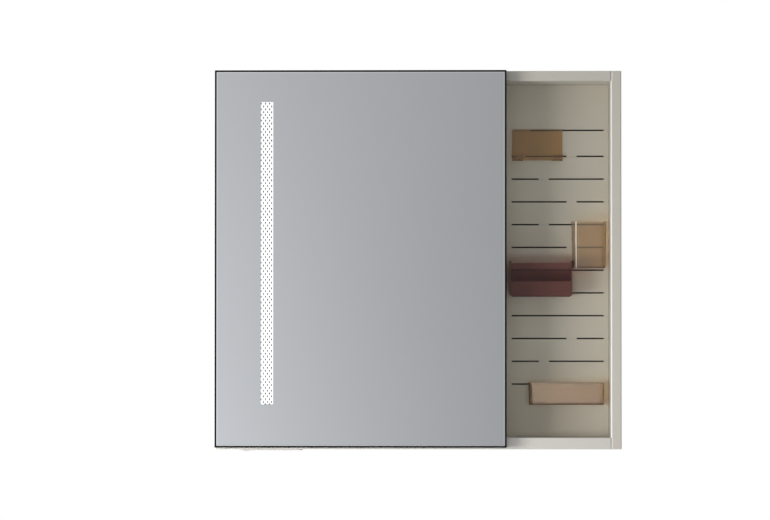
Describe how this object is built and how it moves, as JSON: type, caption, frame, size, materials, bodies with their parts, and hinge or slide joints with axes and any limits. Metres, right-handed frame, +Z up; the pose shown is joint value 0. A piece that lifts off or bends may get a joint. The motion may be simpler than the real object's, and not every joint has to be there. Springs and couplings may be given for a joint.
{
  "type": "mirror cabinet",
  "caption": "Wall cabinet whose lit mirror door slides sideways on rollers past an open bay with a slotted panel and hooked-in holders",
  "frame": {"origin": "centre of the four wall holes, on the plane of the wall", "axes": "+X to the right seen from the front, +Y into the wall, +Z up"},
  "size_m": [0.75, 0.157, 0.7044],
  "materials": {
    "body_paint": "fine textured powder coat, greige",
    "cap_plastic": "moulded, greige",
    "back_sheet": "satin coil coat",
    "frame_black": "black anodised, satin",
    "mirror": "silvered glass, bevelled edge",
    "etched_white": "frosted, lit from behind",
    "shelf_glass": "clear float glass, ground edge",
    "zinc_steel": "zinc plated",
    "plain_aluminium": "mill finish",
    "white_sheet": "satin white",
    "nylon": "moulded nylon",
    "rubber": "moulded rubber",
    "driver_case": "moulded, white",
    "circuit_board": "white solder mask",
    "led_yellow": "phosphor dome",
    "opal": "opal diffuser",
    "module_white": "moulded, off-white",
    "lens_plastic": "moulded lens",
    "amber_plastic": "clear tea-brown plastic",
    "wine_plastic": "clear dark red plastic"
  },
  "bodies": {
    "cabinet": {"side_panel_left": "body_paint", "side_panel_right": "body_paint", "side_end_caps": "cap_plastic", "top_panel": "body_paint", "bottom_panel": "body_paint", "corner_keys": "plain_aluminium", "corner_screws": "zinc_steel", "partition": "body_paint", "back_panel": "back_sheet", "wall_brackets": "zinc_steel", "bracket_rivets": "zinc_steel", "cable_grommet": "rubber", "slotted_panel": "body_paint", "panel_blocks": "nylon", "led_driver": "driver_case", "driver_screws": "zinc_steel", "glass_shelf_lower": "shelf_glass", "glass_shelf_upper": "shelf_glass", "shelf_pins": "nylon", "track_stops": "rubber", "guide_buttons": "nylon", "sensor_housing": "module_white", "sensor_lens": "lens_plastic", "sensor_board": "circuit_board"},
    "mirror_door": {"mirror_glass": "mirror", "etched_light_strip": "etched_white", "door_back_plate": "white_sheet", "back_plate_screws": "zinc_steel", "door_corner_keys": "plain_aluminium", "door_cable_gland": "rubber", "led_channel": "plain_aluminium", "led_board": "circuit_board", "led_chips": "led_yellow", "light_diffuser": "opal", "hanger_bar": "zinc_steel", "hanger_screws": "zinc_steel", "hanger_left": "zinc_steel", "hanger_right": "zinc_steel", "door_frame_top": "frame_black", "door_frame_bottom": "frame_black", "door_frame_left": "frame_black", "door_frame_right": "frame_black"},
    "wheel_set_1": {"roller_wheels_1": "nylon", "roller_axle_1": "zinc_steel"},
    "wheel_set_2": {"roller_wheels_2": "nylon", "roller_axle_2": "zinc_steel"},
    "wheel_set_3": {"roller_wheels_3": "nylon", "roller_axle_3": "zinc_steel"},
    "wheel_set_4": {"roller_wheels_4": "nylon", "roller_axle_4": "zinc_steel"},
    "hook_plate": {"hook_plate": "amber_plastic"},
    "brush_holder": {"brush_holder": "amber_plastic"},
    "organiser": {"organiser": "wine_plastic"},
    "storage_tray": {"storage_tray": "amber_plastic"}
  },
  "joints": [
    {"name": "door_slide", "type": "slide", "parent": "cabinet", "child": "mirror_door", "axis": [1, 0, 0], "range_m": [0, 0.2125]},
    {"name": "wheel_spin_1", "type": "hinge", "parent": "mirror_door", "child": "wheel_set_1", "pos_m": [-0.313, -0.1035, 0.3403], "axis": [0, 1, 0], "range_deg": [0, 1874.1]},
    {"name": "wheel_spin_2", "type": "hinge", "parent": "mirror_door", "child": "wheel_set_2", "pos_m": [-0.277, -0.1035, 0.3403], "axis": [0, 1, 0], "range_deg": [0, 1874.1]},
    {"name": "wheel_spin_3", "type": "hinge", "parent": "mirror_door", "child": "wheel_set_3", "pos_m": [0.0645, -0.1035, 0.3403], "axis": [0, 1, 0], "range_deg": [0, 1874.1]},
    {"name": "wheel_spin_4", "type": "hinge", "parent": "mirror_door", "child": "wheel_set_4", "pos_m": [0.1005, -0.1035, 0.3403], "axis": [0, 1, 0], "range_deg": [0, 1874.1]},
    {"name": "hook_plate_slide", "type": "slide", "parent": "cabinet", "child": "hook_plate", "axis": [1, 0, 0], "range_m": [-0.008, 0.084]},
    {"name": "brush_holder_slide", "type": "slide", "parent": "cabinet", "child": "brush_holder", "axis": [1, 0, 0], "range_m": [0, 0.005]},
    {"name": "organiser_slide", "type": "slide", "parent": "cabinet", "child": "organiser", "axis": [1, 0, 0], "range_m": [-0.0045, 0]},
    {"name": "storage_tray_slide", "type": "slide", "parent": "cabinet", "child": "storage_tray", "axis": [1, 0, 0], "range_m": [-0.04, 0.009]}
  ],
  "couplings": [
    {"joint": "wheel_spin_1", "follows": "door_slide", "rad_per_m": 153.85},
    {"joint": "wheel_spin_2", "follows": "door_slide", "rad_per_m": 153.85},
    {"joint": "wheel_spin_3", "follows": "door_slide", "rad_per_m": 153.85},
    {"joint": "wheel_spin_4", "follows": "door_slide", "rad_per_m": 153.85}
  ]
}
